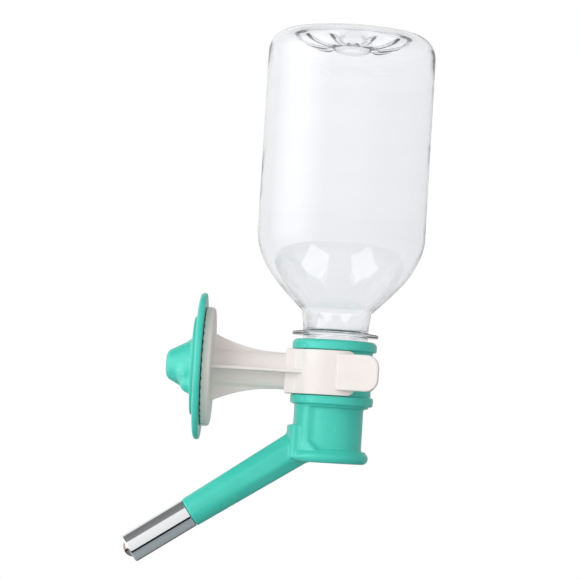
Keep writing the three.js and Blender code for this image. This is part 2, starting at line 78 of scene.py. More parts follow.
bottle_low, bottle_high = box_mm("bottle")
nozzle_low, nozzle_high = box_mm("nozzle_body")
bracket_low, bracket_high = box_mm("bracket")
seal_low, seal_high = box_mm("neck_seal")
joints = {joint["name"]: joint for joint in frame["joints"]}

AXIS_X = (bottle_low[0] + bottle_high[0]) / 2
AXIS_SHIFT = np.array([AXIS_X, 0, 0])
BOTTLE_R = (bottle_high[0] - bottle_low[0]) / 2
BOTTLE_TOP = bottle_high[2]
MOUTH = bottle_low[2]

# The spout's axis meets the bottle's at this height, and the moulding ends this far along it.
SPOUT_MEET, SPOUT_LENGTH = -20.7, 62.6

# Frames: up the bottle's axis, down the spout's axis, and out of the cage along the clamp's axis.
spout_in = Vector(joints["ball_push"]["axis"]).normalized()
bottle_frame = Matrix.Translation((AXIS_X, 0, 0))
spout_out = -spout_in
spout_up = Vector((spout_out.z, 0, -spout_out.x))
spout_side = spout_up.cross(spout_out)
spout_frame = Matrix.Translation((AXIS_X, 0, SPOUT_MEET)) @ Matrix(
    (spout_side, spout_up, spout_out)
).transposed().to_4x4()
clamp_frame = Matrix(((0, 0, -1), (-1, 0, 0), (0, 1, 0))).to_4x4()


# Sides of the turned pieces, and cell sizes of the pieces meshed from fields.
BIG_SIDES, TUBE_SIDES, RING_SIDES, SCREW_SIDES, INSERT_SIDES = 160, 128, 96, 72, 144
NOZZLE_CELL, BRACKET_CELL, CLIP_CELL, KNOB_CELL = 0.45, 0.4, 0.34, 0.32
MARGIN, CLIP_MARGIN = 1.4, 1.2


# -------------------------------------------------- outlines
def rounded(*corners, steps=5):
    """An outline with corners (a, b, radius), each rounded to its radius."""
    pts = [np.array(c[:2], float) for c in corners]
    out = []
    for i, corner in enumerate(corners):
        radius = corner[2] if len(corner) > 2 else 0
        p, a, b = pts[i], pts[i - 1], pts[(i + 1) % len(pts)]
        to_a, to_b = a - p, b - p
        la, lb = np.linalg.norm(to_a), np.linalg.norm(to_b)
        if radius <= 0 or min(la, lb) < 1e-9:
            out.append(p)
            continue
        to_a, to_b = to_a / la, to_b / lb
        half = math.acos(float(np.clip(to_a @ to_b, -1, 1))) / 2
        if half > math.pi / 2 - 0.02:
            out.append(p)
            continue
        reach = min(radius / math.tan(half), la * 0.49, lb * 0.49)
        radius = reach * math.tan(half)
        middle = (to_a + to_b) / np.linalg.norm(to_a + to_b)
        centre = p + middle * radius / math.sin(half)
        start, end = p + to_a * reach - centre, p + to_b * reach - centre
        sweep = math.pi - 2 * half
        for t in np.linspace(0, 1, steps + 1):
            from_start, from_end = math.sin((1 - t) * sweep), math.sin(t * sweep)
            out.append(centre + (start * from_start + end * from_end) / math.sin(sweep))
    return np.array(out)


def dense(points, spacing):
    """The same open line with its points no further apart than a spacing."""
    out = [points[0]]
    for a, b in zip(points[:-1], points[1:]):
        count = max(1, math.ceil(np.linalg.norm(b - a) / spacing))
        out.extend(a + (b - a) * k / count for k in range(1, count + 1))
    return np.array(out)


def dense_loop(points, spacing):
    """The same for a closed line."""
    return dense(np.concatenate([points, points[:1]]), spacing)[:-1]


def bezier(steps, *points):
    """Points along the curve with these control points."""
    ts = np.linspace(0, 1, steps + 1)[:, None]
    n = len(points) - 1
    return sum(
        math.comb(n, i) * np.array(p, float) * ts**i * (1 - ts) ** (n - i)
        for i, p in enumerate(points)
    )


class Outline:
    """Signed distance to a closed outline in a plane, read from a fine table."""

    def __init__(self, points, step=0.08):
        points, margin = np.array(points, float), 3.0
        self.low, self.step = points.min(0) - margin, step
        count = np.ceil((points.max(0) + margin - self.low) / step).astype(int) + 1
        u = self.low[0] + step * np.arange(count[0])[:, None]
        v = self.low[1] + step * np.arange(count[1])[None, :]
        best = np.full(count, 1e9)
        inside = np.zeros(count, bool)
        for a, b in zip(points, np.roll(points, -1, 0)):
            edge = b - a
            square = edge @ edge
            if square < 1e-12:
                continue
            t = np.clip(((u - a[0]) * edge[0] + (v - a[1]) * edge[1]) / square, 0, 1)
            away_u, away_v = u - a[0] - t * edge[0], v - a[1] - t * edge[1]
            best = np.minimum(best, away_u**2 + away_v**2)
            if edge[1]:
                crosses = (a[1] > v) != (b[1] > v)
                inside ^= crosses & (u < edge[0] * (v - a[1]) / edge[1] + a[0])
        self.table = np.where(inside, -np.sqrt(best), np.sqrt(best))

    def __call__(self, u, v):
        u, v = np.broadcast_arrays(u, v)
        size = self.table.shape
        i = np.clip((u - self.low[0]) / self.step, 0, size[0] - 1.001)
        j = np.clip((v - self.low[1]) / self.step, 0, size[1] - 1.001)
        i0, j0 = i.astype(int), j.astype(int)
        fi, fj = i - i0, j - j0
        t = self.table
        near = t[i0, j0] * (1 - fi) + t[i0 + 1, j0] * fi
        far = t[i0, j0 + 1] * (1 - fi) + t[i0 + 1, j0 + 1] * fi
        return near * (1 - fj) + far * fj


def section(*corners, steps=5, step=0.08):
    """The signed distance to an outline with rounded corners."""
    return Outline(rounded(*corners, steps=steps), step)


# -------------------------------------------------- fields
# A field is negative inside a solid. These join, intersect and cut fields with a round fillet.
def join(a, b, radius=0.0):
    if radius <= 0:
        return np.minimum(a, b)
    u, v = np.maximum(radius - a, 0), np.maximum(radius - b, 0)
    return np.maximum(radius, np.minimum(a, b)) - np.sqrt(u * u + v * v)


def common(a, b, radius=0.0):
    return -join(-a, -b, radius)


def cut(a, b, radius=0.0):
    return common(a, -b, radius)


def slab(value, low, high):
    """Negative where the value lies between low and high."""
    return np.abs(value - (low + high) / 2) - (high - low) / 2


def hypot(*values):
    return np.sqrt(sum(v * v for v in values) + 1e-12)


def smoothstep(value, low, high):
    t = np.clip((value - low) / (high - low), 0, 1)
    return t * t * (3 - 2 * t)


def helix_offset(z, angle, start, pitch):
    """Distance along the axis from the nearest turn of a right-handed thread."""
    phase = (z - start) / pitch - angle / (2 * math.pi)
    return (phase - np.round(phase)) * pitch


# The corners of a cell, and its edges as pairs of corners.
CORNERS = [(i, j, k) for i in (0, 1) for j in (0, 1) for k in (0, 1)]
EDGES = [
    (a, b)
    for a in range(8)
    for b in range(a + 1, 8)
    if sum(p != q for p, q in zip(CORNERS[a], CORNERS[b])) == 1
]


def slope(field, p, reach=0.06):
    """The field's gradient at points p."""
    parts = []
    for axis in range(3):
        ahead, behind = p.copy(), p.copy()
        ahead[:, axis] += reach
        behind[:, axis] -= reach
        parts.append((field(*ahead.T) - field(*behind.T)) / (2 * reach))
    return np.stack(parts, 1)


def net(field, low, high, cell):
    """A closed quad mesh of a field's zero surface, with its points moved onto the surface."""
    low, high = np.array(low, float), np.array(high, float)
    axes = [a + cell * np.arange(math.ceil((b - a) / cell) + 1) for a, b in zip(low, high)]
    value = field(axes[0][:, None, None], axes[1][None, :, None], axes[2][None, None, :])
    inside = value < 0
    n = np.array(value.shape) - 1
    count = sum(
        inside[i : n[0] + i, j : n[1] + j, k : n[2] + k].astype(np.uint8)
        for i, j, k in CORNERS
    )
    active = (count > 0) & (count < 8)
    cells = np.argwhere(active)
    number = np.full(n, -1)
    number[active] = np.arange(len(cells))
    held = np.stack([value[tuple((cells + c).T)] for c in CORNERS], 1)
    total, share = np.zeros((len(cells), 3)), np.zeros(len(cells))
    for a, b in EDGES:
        crossed = (held[:, a] < 0) != (held[:, b] < 0)
        gap = np.where(crossed, held[:, a] - held[:, b], 1)
        t = np.where(crossed, held[:, a] / gap, 0)[:, None]
        start, end = np.array(CORNERS[a]), np.array(CORNERS[b])
        total += crossed[:, None] * (start + t * (end - start))
        share += crossed
    points = low + cell * (cells + total / share[:, None])
    faces = []
    for axis in range(3):
        one, two = (axis + 1) % 3, (axis + 2) % 3
        here = [slice(1, -1)] * 3
        here[axis] = slice(0, -1)
        ahead = list(here)
        ahead[axis] = slice(1, None)
        changed = inside[tuple(here)] != inside[tuple(ahead)]
        at = np.argwhere(changed) + [0 if a == axis else 1 for a in range(3)]
        outward = inside[tuple(at.T)]
        around = []
        for d1, d2 in ((-1, -1), (0, -1), (0, 0), (-1, 0)):
            near = at.copy()
            near[:, one] += d1
            near[:, two] += d2
            around.append(number[tuple(near.T)])
        quads = np.stack(around, 1)
        faces.append(np.where(outward[:, None], quads, quads[:, ::-1]))
    faces = np.concatenate(faces)
    a, b = faces.ravel(), np.roll(faces, -1, 1).ravel()
    size = len(points)
    degree = np.bincount(a, minlength=size) + np.bincount(b, minlength=size)
    for step in range(4):
        if step < 2:
            sums = [np.bincount(a, p[b], size) + np.bincount(b, p[a], size) for p in points.T]
            mean = np.stack(sums, 1) / np.maximum(degree, 1)[:, None]
            points = points + 0.5 * (mean - points)
        gradient = slope(field, points)
        square = np.maximum((gradient**2).sum(1), 0.2)
        move = -(field(*points.T) / square)[:, None] * gradient
        reach = np.linalg.norm(move, axis=1, keepdims=True)
        points = points + move * np.minimum(1, 0.5 * cell / np.maximum(reach, 1e-9))
    normals = slope(field, points, 0.12)
    normals /= np.maximum(np.linalg.norm(normals, axis=1, keepdims=True), 1e-9)
    return points, faces, normals


# -------------------------------------------------- meshes
def add_object(name, data):
    made = bpy.data.objects.new(name, data)
    bpy.context.scene.collection.objects.link(made)
    return made


def add_mesh(name, matrix, points, faces, normals=None):
    mesh = bpy.data.meshes.new(name)
    mesh.from_pydata((np.asarray(points) * MM).tolist(), [], [list(f) for f in faces])
    mesh.polygons.foreach_set("use_smooth", [True] * len(mesh.polygons))
    placed = matrix.copy()
    placed.translation = matrix.translation * MM
    if normals is not None:
        mesh.normals_split_custom_set_from_vertices(normals.tolist())
    mesh.transform(placed)
    mesh.update()
    return add_object(name, mesh)


def lathe(profile, segments, warp=None):
    """A closed turned solid. The profile lists (radius, height) with the solid on its left."""
    profile = np.asarray(profile, float)
    on_axis = profile[0][0] < 1e-6 and profile[-1][0] < 1e-6
    angles = 2 * math.pi * np.arange(segments) / segments
    points, rows = [], []
    for r, z in profile:
        if r < 1e-6:
            rows.append([len(points)])
            points.append((0, 0, z))
            continue
        radius = np.full(segments, r) if warp is None else warp(r, z, angles)
        rows.append(list(range(len(points), len(points) + segments)))
        points.extend(zip(radius * np.cos(angles), radius * np.sin(angles), [z] * segments))
    pairs = list(zip(rows[:-1], rows[1:]))
    if not on_axis:
        pairs.append((rows[-1], rows[0]))
    faces = []
    for low, high in pairs:
        for i in range(segments):
            j = (i + 1) % segments
            quad = low[i % len(low)], low[j % len(low)], high[j % len(high)], high[i % len(high)]
            face = tuple(dict.fromkeys(quad))
            if len(face) > 2:
                faces.append(face)
    return np.array(points), faces


def even_normals(made):
    """Keeps flat faces flat in shading beside narrow rounded edges."""
    weighted = made.modifiers.new("even_normals", "WEIGHTED_NORMAL")
    weighted.keep_sharp = True
    weighted.weight = 100


def stands_for(made, node, material):
    """The piece rides on its CAD node's body, and the node is hidden."""
    body = next(b for b, nodes in frame["record"]["behaviour"]["bodies"].items() if node in nodes)
    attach(made, body)
    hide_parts(node)
    made.data.materials.append(material)


# -------------------------------------------------- materials
class Graph:
    """Short ways to wire a node tree."""

    def __init__(self, tree):
        self.nodes, self.links = tree.nodes, tree.links

    def feed(self, value, socket):
        """The socket takes another node's output, or else a plain value."""
        if isinstance(value, bpy.types.NodeSocket):
            self.links.new(value, socket)
        else:
            socket.default_value = value

    def add(self, kind, *values, **inputs):
        """A new node, its inputs fed in order or by name, an underscore standing for a space."""
        node = self.nodes.new(kind)
        for value, socket in zip(values, node.inputs):
            self.feed(value, socket)
        for key, value in inputs.items():
            self.feed(value, node.inputs[key.replace("_", " ")])
        return node

    def maths(self, operation, *values):
        node = self.add("ShaderNodeMath", *values)
        node.operation = operation
        return node.outputs[0]


class Look(Graph):
    """A Principled material and short ways to wire its patterns."""

    def __init__(self, name):
        self.material = bpy.data.materials.new(name)
        self.material.use_nodes = True
        super().__init__(self.material.node_tree)
        self.shader = self.nodes["Principled BSDF"]
        self.place = self.nodes.new("ShaderNodeTexCoord").outputs["Object"]

    def set(self, **inputs):
        for key, value in inputs.items():
            self.feed(value, self.shader.inputs[key.replace("_", " ")])

    def scaled(self, scale, turn=(0, 0, 0)):
        node = self.add("ShaderNodeMapping", Vector=self.place, Scale=scale, Rotation=turn)
        return node.outputs["Vector"]

    def noise(self, scale, detail=3.0, rough=0.5, place=None, distortion=0.0):
        node = self.add("ShaderNodeTexNoise", Vector=place or self.place, Scale=scale,
                        Detail=detail, Roughness=rough, Distortion=distortion)
        return node.outputs["Fac"]

    def remap(self, value, low, high, to_low=0, to_high=1):
        node = self.add("ShaderNodeMapRange", Value=value, From_Min=low, From_Max=high,
                        To_Min=to_low, To_Max=to_high)
        return node.outputs["Result"]

    def mix(self, factor, a, b):
        node = self.nodes.new("ShaderNodeMix")
        node.data_type = "RGBA"
        for value, index in ((factor, 0), (a, 6), (b, 7)):
            self.feed(value, node.inputs[index])
        return node.outputs[2]

    def edges(self, low, high):
        """0 on flat faces rising to 1 on convex edges."""
        node = self.nodes.new("ShaderNodeNewGeometry")
        return self.remap(node.outputs["Pointiness"], low, high)

    def bump(self, *layers):
        """Layers of (height, strength, distance in metres), each on top of the last."""
        normal = None
        for height, strength, distance in layers:
            node = self.add("ShaderNodeBump", Height=height, Strength=strength, Distance=distance)
            if normal is not None:
                self.feed(normal, node.inputs["Normal"])
            normal = node.outputs["Normal"]
        self.set(Normal=normal)


def srgb(code):
    parts = [int(code[i : i + 2], 16) / 255 for i in (1, 3, 5)]
    linear = [c / 12.92 if c <= 0.04045 else ((c + 0.055) / 1.055) ** 2.4 for c in parts]
    return (*linear, 1.0)


def moulded(name, tones, gloss, scatter, bleed):
    """Injection-moulded plastic: flow marks, specks, a fine spark-eroded grain, and convex edges
    lightened towards the pale edge tone, partly as rubbed wear and partly as a painted highlight.
    """
    look = Look(name)
    base, dark, light, edge = (srgb(tone) for tone in tones)
    cloud = look.remap(look.noise(38, 4, 0.55), 0.3, 0.7)
    flow = look.remap(look.noise(90, 3, 0.6, look.scaled((1, 1, 0.22)), 0.6), 0.35, 0.7)
    speck = look.remap(look.noise(2400, 2, 0.7), 0.62, 0.8)
    colour = look.mix(cloud, dark, light)
    colour = look.mix(look.maths("MULTIPLY", flow, 0.35), colour, base)
    colour = look.mix(look.maths("MULTIPLY", speck, 0.25), colour, edge)
    # Convex edges lean towards the pale edge tone: partly rubbed wear, partly a painted highlight where
    # rounded edges catch the light.
    wear_and_edge_highlight = look.maths("MULTIPLY", look.edges(0.515, 0.6), look.remap(cloud, 0, 1, 0.15, 0.4))
    streaks = look.noise(260, 5, 0.75, look.scaled((1, 0.25, 1), (0.3, 0.5, 0.2)))
    scuff = look.remap(streaks, 0.45, 0.75)
    rough = look.remap(scuff, 0, 1, gloss, gloss + 0.13)
    grain = look.noise(3200, 2, 0.6)
    rough = look.maths("ADD", rough, look.remap(grain, 0.3, 0.7, -0.03, 0.04))
    dimples = look.noise(120, 3, 0.5)
    look.bump((dimples, 0.25, 0.00006), (grain, 0.35, 0.00002), (scuff, 0.12, 0.00002))
    look.set(Base_Color=look.mix(wear_and_edge_highlight, colour, edge), Roughness=rough, IOR=1.49)
    look.set(Specular_IOR_Level=0.5, Subsurface_Weight=scatter)
    look.set(Subsurface_Scale=0.0016, Subsurface_Radius=bleed)
    return look.material


def clear_plastic():
    """Blown PET: slightly grey, with faint flow bands and ripples round it and handling scuffs."""
    look = Look("clear_pet")
    bands = look.noise(26, 3, 0.5, look.scaled((0.35, 0.35, 5.0)))
    ripple = look.noise(22, 2, 0.5, look.scaled((1, 1, 1.6)))
    streaks = look.noise(700, 6, 0.8, look.scaled((1, 1, 0.08), (0.1, 0.05, 0)))
    rough = look.remap(look.remap(streaks, 0.62, 0.8), 0, 1, 0.012, 0.05)
    dim, bright = (0.950, 0.958, 0.975, 1), (0.964, 0.970, 0.982, 1)
    look.bump((bands, 0.10, 0.0006), (ripple, 0.16, 0.0016))
    look.set(Base_Color=look.mix(look.remap(bands, 0.35, 0.65), dim, bright), Roughness=rough)
    look.set(IOR=1.57, Transmission_Weight=1.0)
    return look.material


def metal(name, tone, low, high, polish, turn=(0, 0, 0)):
    """Bare metal with faint draw lines and fingerprints, its roughness from low to high."""
    look = Look(name)
    lines = look.noise(2600, 3, 0.6, look.scaled((0.02, 1, 1), turn))
    smudge = look.remap(look.noise(130, 4, 0.6), 0.45, 0.72)
    light = srgb(tone)
    dark = (*(c * 0.94 for c in light[:3]), 1.0)
    rough = look.remap(smudge, 0, 1, low, high)
    rough = look.maths("ADD", rough, look.remap(lines, 0.3, 0.7, 0, polish))
    look.bump((lines, 0.08, 0.00001), (look.noise(60, 2, 0.5), 0.05, 0.00003))
    look.set(Base_Color=look.mix(look.remap(lines, 0.3, 0.7), light, dark), Roughness=rough)
    look.set(Metallic=1.0, IOR=2.5)
    return look.material


def rubber():
    """Translucent silicone with a matt, slightly dusty skin."""
    look = Look("silicone")
    dust = look.remap(look.noise(900, 4, 0.7), 0.5, 0.75)
    look.bump((look.noise(1800, 3, 0.6), 0.2, 0.00002))
    look.set(Base_Color=look.mix(dust, srgb("#d5d9d9"), srgb("#e6e8e7")))
    look.set(Roughness=look.remap(dust, 0, 1, 0.45, 0.62), IOR=1.41)
    look.set(Subsurface_Weight=0.35, Subsurface_Scale=0.002)
    return look.material


# Base, dark, light and edge tones of the two mouldings. The pale edge tone colours the specks and the
# lightened convex edges, which are partly wear and partly a painted highlight.
MINT = ("#42d0be", "#3bcbb8", "#4cd6c5", "#90ebdf")
CREAM = ("#f2edea", "#eee7e4", "#f5f1ee", "#fbf8f6")
mint = moulded("mint_plastic", MINT, gloss=0.30, scatter=0.08, bleed=(0.4, 1.0, 0.8))
cream = moulded("cream_plastic", CREAM, gloss=0.36, scatter=0.18, bleed=(1.0, 0.6, 0.45))
pet = clear_plastic()
along_spout = (0, -math.atan2(spout_out.z, spout_out.x), 0)
polished = metal("stainless_polished", "#eceef0", 0.04, 0.08, 0.02, along_spout)
ball_steel = metal("stainless_ball", "#a89c97", 0.08, 0.14, 0.03)
turned_steel = metal("stainless_turned", "#c6c9cc", 0.20, 0.30, 0.06)
wire_steel = metal("spring_steel", "#a7aaae", 0.26, 0.36, 0.06)
brass = metal("brass", "#d0ae62", 0.24, 0.34, 0.06)
silicone = rubber()


# -------------------------------------------------- bottle
CYLINDER_LOW, CONE_TOP, CONE_R, CONE_SLOPE = 53.0, 35.4, 24.6, 0.82
SHOULDER_EASE, NECK_EASE, NECK_TOP, NECK_R = 5.4, 1.4, 23.6, 13.2
BASE_ROUND, BASE_RING, PUNT, BASE_WALL, GATE_THICK, GATE_R = 8.7, 21.0, 4.6, 1.0, 2.7, 7.6
BASE_RIBS, RIB_DEPTH, RIB_FROM, RIB_TO, RIB_EASE = 10, 1.3, 8.5, 17.5, 3.0
FINISH_R, NECK_WALL, RING_LOW, RING_HIGH, RING_R = 12.45, 1.6, 14.3, 15.6, 16.55
THREAD_PITCH, THREAD_CREST, THREAD_START, THREAD_TURNS = 3.18, 13.5, -2.6, 1.5
# The wall's thickness at heights from the mouth to the base.
WALLS = [(MOUTH, NECK_WALL), (RING_HIGH + 2, 1.5), (NECK_TOP + 3, 1.0), (CONE_TOP, 0.7)]
WALLS += [(60, 0.55), (118, 0.6), (BOTTLE_TOP - 6, 0.95)]


def bottle_outline():
    """The outside from the mouth to the middle of the base, and the wall's thickness there."""
    finish = rounded(
        (FINISH_R - NECK_WALL, MOUTH),
        (FINISH_R, MOUTH, 0.35),
        (FINISH_R, RING_LOW, 0.3),
        (RING_R, RING_LOW, 0.45),
        (RING_R, RING_HIGH, 0.5),
        (FINISH_R, RING_HIGH + 0.5, 0.8),
        (NECK_R, NECK_TOP),
        steps=4,
    )
    cone = bezier(
        14,
        (NECK_R, NECK_TOP),
        (NECK_R + NECK_EASE, NECK_TOP + NECK_EASE),
        (CONE_R - CONE_SLOPE * SHOULDER_EASE, CONE_TOP - SHOULDER_EASE),
        (CONE_R, CONE_TOP),
    )
    shoulder = bezier(
        18,
        (CONE_R, CONE_TOP),
        (CONE_R + CONE_SLOPE * SHOULDER_EASE, CONE_TOP + SHOULDER_EASE),
        (BOTTLE_R, CYLINDER_LOW - SHOULDER_EASE),
        (BOTTLE_R, CYLINDER_LOW),
    )[1:]
    rise = 3
    heights = np.arange(CYLINDER_LOW + rise, BOTTLE_TOP - BASE_ROUND, rise)
    side = np.array([(BOTTLE_R, z) for z in heights])
    turn = np.linspace(0, math.pi / 2, 15)
    centre = np.array([BOTTLE_R, BOTTLE_TOP]) - BASE_ROUND
    base = centre + BASE_ROUND * np.stack([np.cos(turn), np.sin(turn)], 1)
    punt = bezier(
        22,
        (BASE_RING, BOTTLE_TOP),
        (BASE_RING - 3, BOTTLE_TOP - 3.4),
        (10, BOTTLE_TOP - PUNT),
        (0, BOTTLE_TOP - PUNT),
    )
    outside = np.concatenate([dense(finish[:-1], 0.35), cone, shoulder, side, base, punt])
    z, r = outside[:, 1], outside[:, 0]
    wall = np.interp(z, *zip(*WALLS))
    gate = GATE_THICK * np.clip(1 - (r / GATE_R) ** 2, 0, 1) ** 0.7
    in_base = (z > BOTTLE_TOP - BASE_ROUND) & (r < BASE_RING)
    return outside, np.where(in_base, BASE_WALL + gate, wall)


def make_bottle():
    outside, wall = bottle_outline()
    neck_inner = FINISH_R - NECK_WALL
    step = np.gradient(outside, axis=0)
    normal = np.stack([step[:, 1], -step[:, 0]], 1)
    normal /= np.linalg.norm(normal, axis=1, keepdims=True)
    inner = outside - normal * wall[:, None]
    inner = inner[outside[:, 1] > RING_HIGH + 2.5]
    inner[:, 0] = np.maximum(inner[:, 0], 0)
    inner[-1, 0] = 0
    neck = np.array([(neck_inner, z) for z in np.arange(RING_HIGH + 1, MOUTH + 0.3, -1.0)])
    lip = np.array([(neck_inner, MOUTH + 0.25), (neck_inner + 0.25, MOUTH)])
    profile = np.concatenate([lip[1:], outside[1:], inner[::-1], neck, lip[:1]])

    def warp(r, z, angle):
        radius = np.full(len(angle), r)
        if abs(r - FINISH_R) < 0.05 and THREAD_START - 1 < z < 3:
            offset = helix_offset(z, angle, THREAD_START, THREAD_PITCH)
            along = (z - THREAD_START - offset) / THREAD_PITCH
            ends = smoothstep(along, -0.05, 0.15)
            ends = ends * smoothstep(-along, -THREAD_TURNS, -THREAD_TURNS + 0.2)
            ridge = 1 - smoothstep(np.abs(offset), 0.3, 0.75)
            radius = radius + (THREAD_CREST - FINISH_R) * ridge * ends
        return radius

    points, faces = lathe(profile, BIG_SIDES, warp)
    # Shallow radial ribs stiffen the pushed-up base.
    r = np.hypot(points[:, 0], points[:, 1])
    angle = np.arctan2(points[:, 1], points[:, 0])
    rib = (0.5 + 0.5 * np.cos(BASE_RIBS * angle)) ** 2
    zone = smoothstep(r, RIB_FROM, RIB_FROM + RIB_EASE) * (1 - smoothstep(r, RIB_TO, RIB_TO + RIB_EASE))
    in_base = points[:, 2] > BOTTLE_TOP - 9
    points[:, 2] -= np.where(in_base, RIB_DEPTH * rib * zone, 0)
    made = add_mesh("bottle_shell", bottle_frame, points, faces)
    stands_for(made, "bottle", pet)


# -------------------------------------------------- nozzle
FLANGE_R, GROOVE_R, LOWER_R, FRAME_R, CORE_R, FOOT_R = 16.2, 14.8, 15.9, 14.15, 12.4, 15.2
GROOVE_LOW, GROOVE_HIGH, LOWER_LOW, FOOT_TOP, FOOT_LOW = -8.6, 8.8, -12.0, -29.4, -34.1
FOOT_WRAP = 56  # degrees that the foot's bead rises past its widest
BORE_R, BORE_FLARE, SEAT_Z, CHAMBER_R, CHAMBER_LOW = 13.8, 1.2, -7.2, 10.4, -31.6
RECESS_LEFT, RECESS_CHAMFER, RECESS_DRAFT = -6.2, 3.4, 1.5
COLLAR_TOP, COLLAR_HALF, COLLAR_R, COLLAR_SIDE, COLLAR_BEND, COLLAR_FOOT = -20.2, 8.6, 16.4, -9, -27, -3
SPOUT_ROOT, SPOUT_END, WATERWAY_R, WATERWAY_START = 7.0, 5.85, 3.5, 6
# The spout is eight-sided to the first share of its length and round from the second.
EIGHT_TO, ROUND_FROM, EIGHT_SHARP = 0.34, 0.95, 18
NUT_CREST, NUT_TURNS, MARK_R, MARK_WIDTH, MARK_RISE = 12.75, 2.3, 2.2, 0.32, 0.07
NIPPLE_R, NIPPLE_LENGTH = 5.05, 9.0
GLAND_R, GLAND_AT, GLAND_HALF = 4.24, 4.2, 0.55
nipple_end = SPOUT_LENGTH + NIPPLE_LENGTH
gland = SPOUT_LENGTH + GLAND_AT


def nozzle_field():
    top = nozzle_high[2]
    foot = (FOOT_TOP - FOOT_LOW) / 2
    turn = np.radians(np.linspace(-90, FOOT_WRAP, 15))
    bead = zip(FOOT_R - foot + foot * np.cos(turn), FOOT_LOW + foot + foot * np.sin(turn))
    skin = section(
        (0, FOOT_LOW),
        *bead,
        (FRAME_R, FOOT_TOP - 0.3, 0.3),
        (FRAME_R, LOWER_LOW, 0.7),
        (LOWER_R, LOWER_LOW, 1.1),
        (LOWER_R, GROOVE_LOW, 0.6),
        (GROOVE_R, GROOVE_LOW, 0.3),
        (GROOVE_R, GROOVE_HIGH, 0.3),
        (FLANGE_R, GROOVE_HIGH, 0.7),
        (FLANGE_R, top, 1.9),
        (0, top),
        steps=6,
    )
    bore = section(
        (-1, CHAMBER_LOW),
        (CHAMBER_R, CHAMBER_LOW, 1.4),
        (CHAMBER_R, SEAT_Z, 0.3),
        (BORE_R, SEAT_Z, 0.4),
        (BORE_R, top - 0.7),
        (BORE_R + BORE_FLARE, top + 0.5),
        (BORE_R + BORE_FLARE, top + 4),
        (-1, top + 4),
        steps=4,
    )
    beyond = 22
    recess_top, recess_low = LOWER_LOW - 0.9, FOOT_TOP + 0.2
    recess = section(
        (RECESS_LEFT, recess_top, 0.8),
        (RECESS_LEFT, recess_low + RECESS_CHAMFER, 1.0),
        (RECESS_LEFT + RECESS_CHAMFER, recess_low, 1.0),
        (beyond, recess_low),
        (beyond, recess_top),
    )
    collar = section(
        (-beyond, COLLAR_TOP),
        (COLLAR_SIDE, COLLAR_TOP),
        (COLLAR_SIDE, COLLAR_BEND),
        (COLLAR_FOOT, FOOT_LOW + 1),
        (-beyond, FOOT_LOW + 1),
    )
    nipple = section(
        (0, SPOUT_LENGTH - 3),
        (NIPPLE_R, SPOUT_LENGTH - 3),
        (NIPPLE_R, gland - GLAND_HALF),
        (GLAND_R, gland - GLAND_HALF),
        (GLAND_R, gland + GLAND_HALF),
        (NIPPLE_R, gland + GLAND_HALF),
        (NIPPLE_R, nipple_end, 0.5),
        (0, nipple_end),
    )
    out, up = np.array(spout_out), np.array(spout_up)
    facets = [(math.cos(a), math.sin(a)) for a in np.arange(4) * math.pi / 4]
    mark_z = (LOWER_LOW + FOOT_TOP) / 2 - 0.3

    def field(x, y, z):
        r = hypot(x, y)
        solid = skin(r, z)
        depth = np.clip(r - CORE_R, 0, FRAME_R - CORE_R)
        wall = recess(x + RECESS_DRAFT * depth, z) * 0.6
        wall = common(wall, r - FRAME_R - 0.4)
        solid = cut(solid, common(wall, CORE_R - r, 0.6), 0.5)
        box = common(collar(x, z), np.abs(y) - COLLAR_HALF, 0.9)
        solid = join(solid, common(box, r - COLLAR_R, 0.9), 0.9)
        w = x * out[0] + (z - SPOUT_MEET) * out[2]
        v = x * up[0] + (z - SPOUT_MEET) * up[2]
        share = w / SPOUT_LENGTH
        flat = SPOUT_ROOT + (SPOUT_END - SPOUT_ROOT) * share
        eight = sum(np.abs(y * c + v * s) ** EIGHT_SHARP for c, s in facets) ** (1 / EIGHT_SHARP)
        ring = hypot(y, v)
        plain = smoothstep(share, EIGHT_TO, ROUND_FROM)
        spout = (1 - plain) * eight + plain * ring - flat
        spout = common(common(spout, w - SPOUT_LENGTH, 0.5), -w)
        solid = join(solid, spout, 0.9)
        solid = join(solid, nipple(ring, w))
        solid = cut(solid, bore(r, z), 0.0)
        solid = cut(solid, common(ring - WATERWAY_R, WATERWAY_START - w), 0.25)
        angle = np.arctan2(y, x)
        offset = np.abs(helix_offset(z, angle, THREAD_START - THREAD_PITCH / 2, THREAD_PITCH))
        lead = (z - THREAD_START) / THREAD_PITCH + 0.5
        ridge = common(offset - 0.35 - 0.3 * (r - NUT_CREST), NUT_CREST - r, 0.15)
        ridge = common(ridge, slab(lead, 0.1, NUT_TURNS) * THREAD_PITCH)
        solid = join(solid, common(ridge, r - BORE_R - 0.4), 0.15)
        mark = hypot(x - 0.4, z - mark_z)
        mark = MARK_RISE * np.exp(-(((mark - MARK_R) / MARK_WIDTH) ** 2))
        return solid - mark * (y < -9) * (r < CORE_R + 0.5)

    return field


def make_nozzle():
    low, high = nozzle_low - AXIS_SHIFT - MARGIN, nozzle_high - AXIS_SHIFT + MARGIN
    solid = net(nozzle_field(), low, high, NOZZLE_CELL)
    made = add_mesh("nozzle_moulding", bottle_frame, *solid)
    stands_for(made, "nozzle_body", mint)


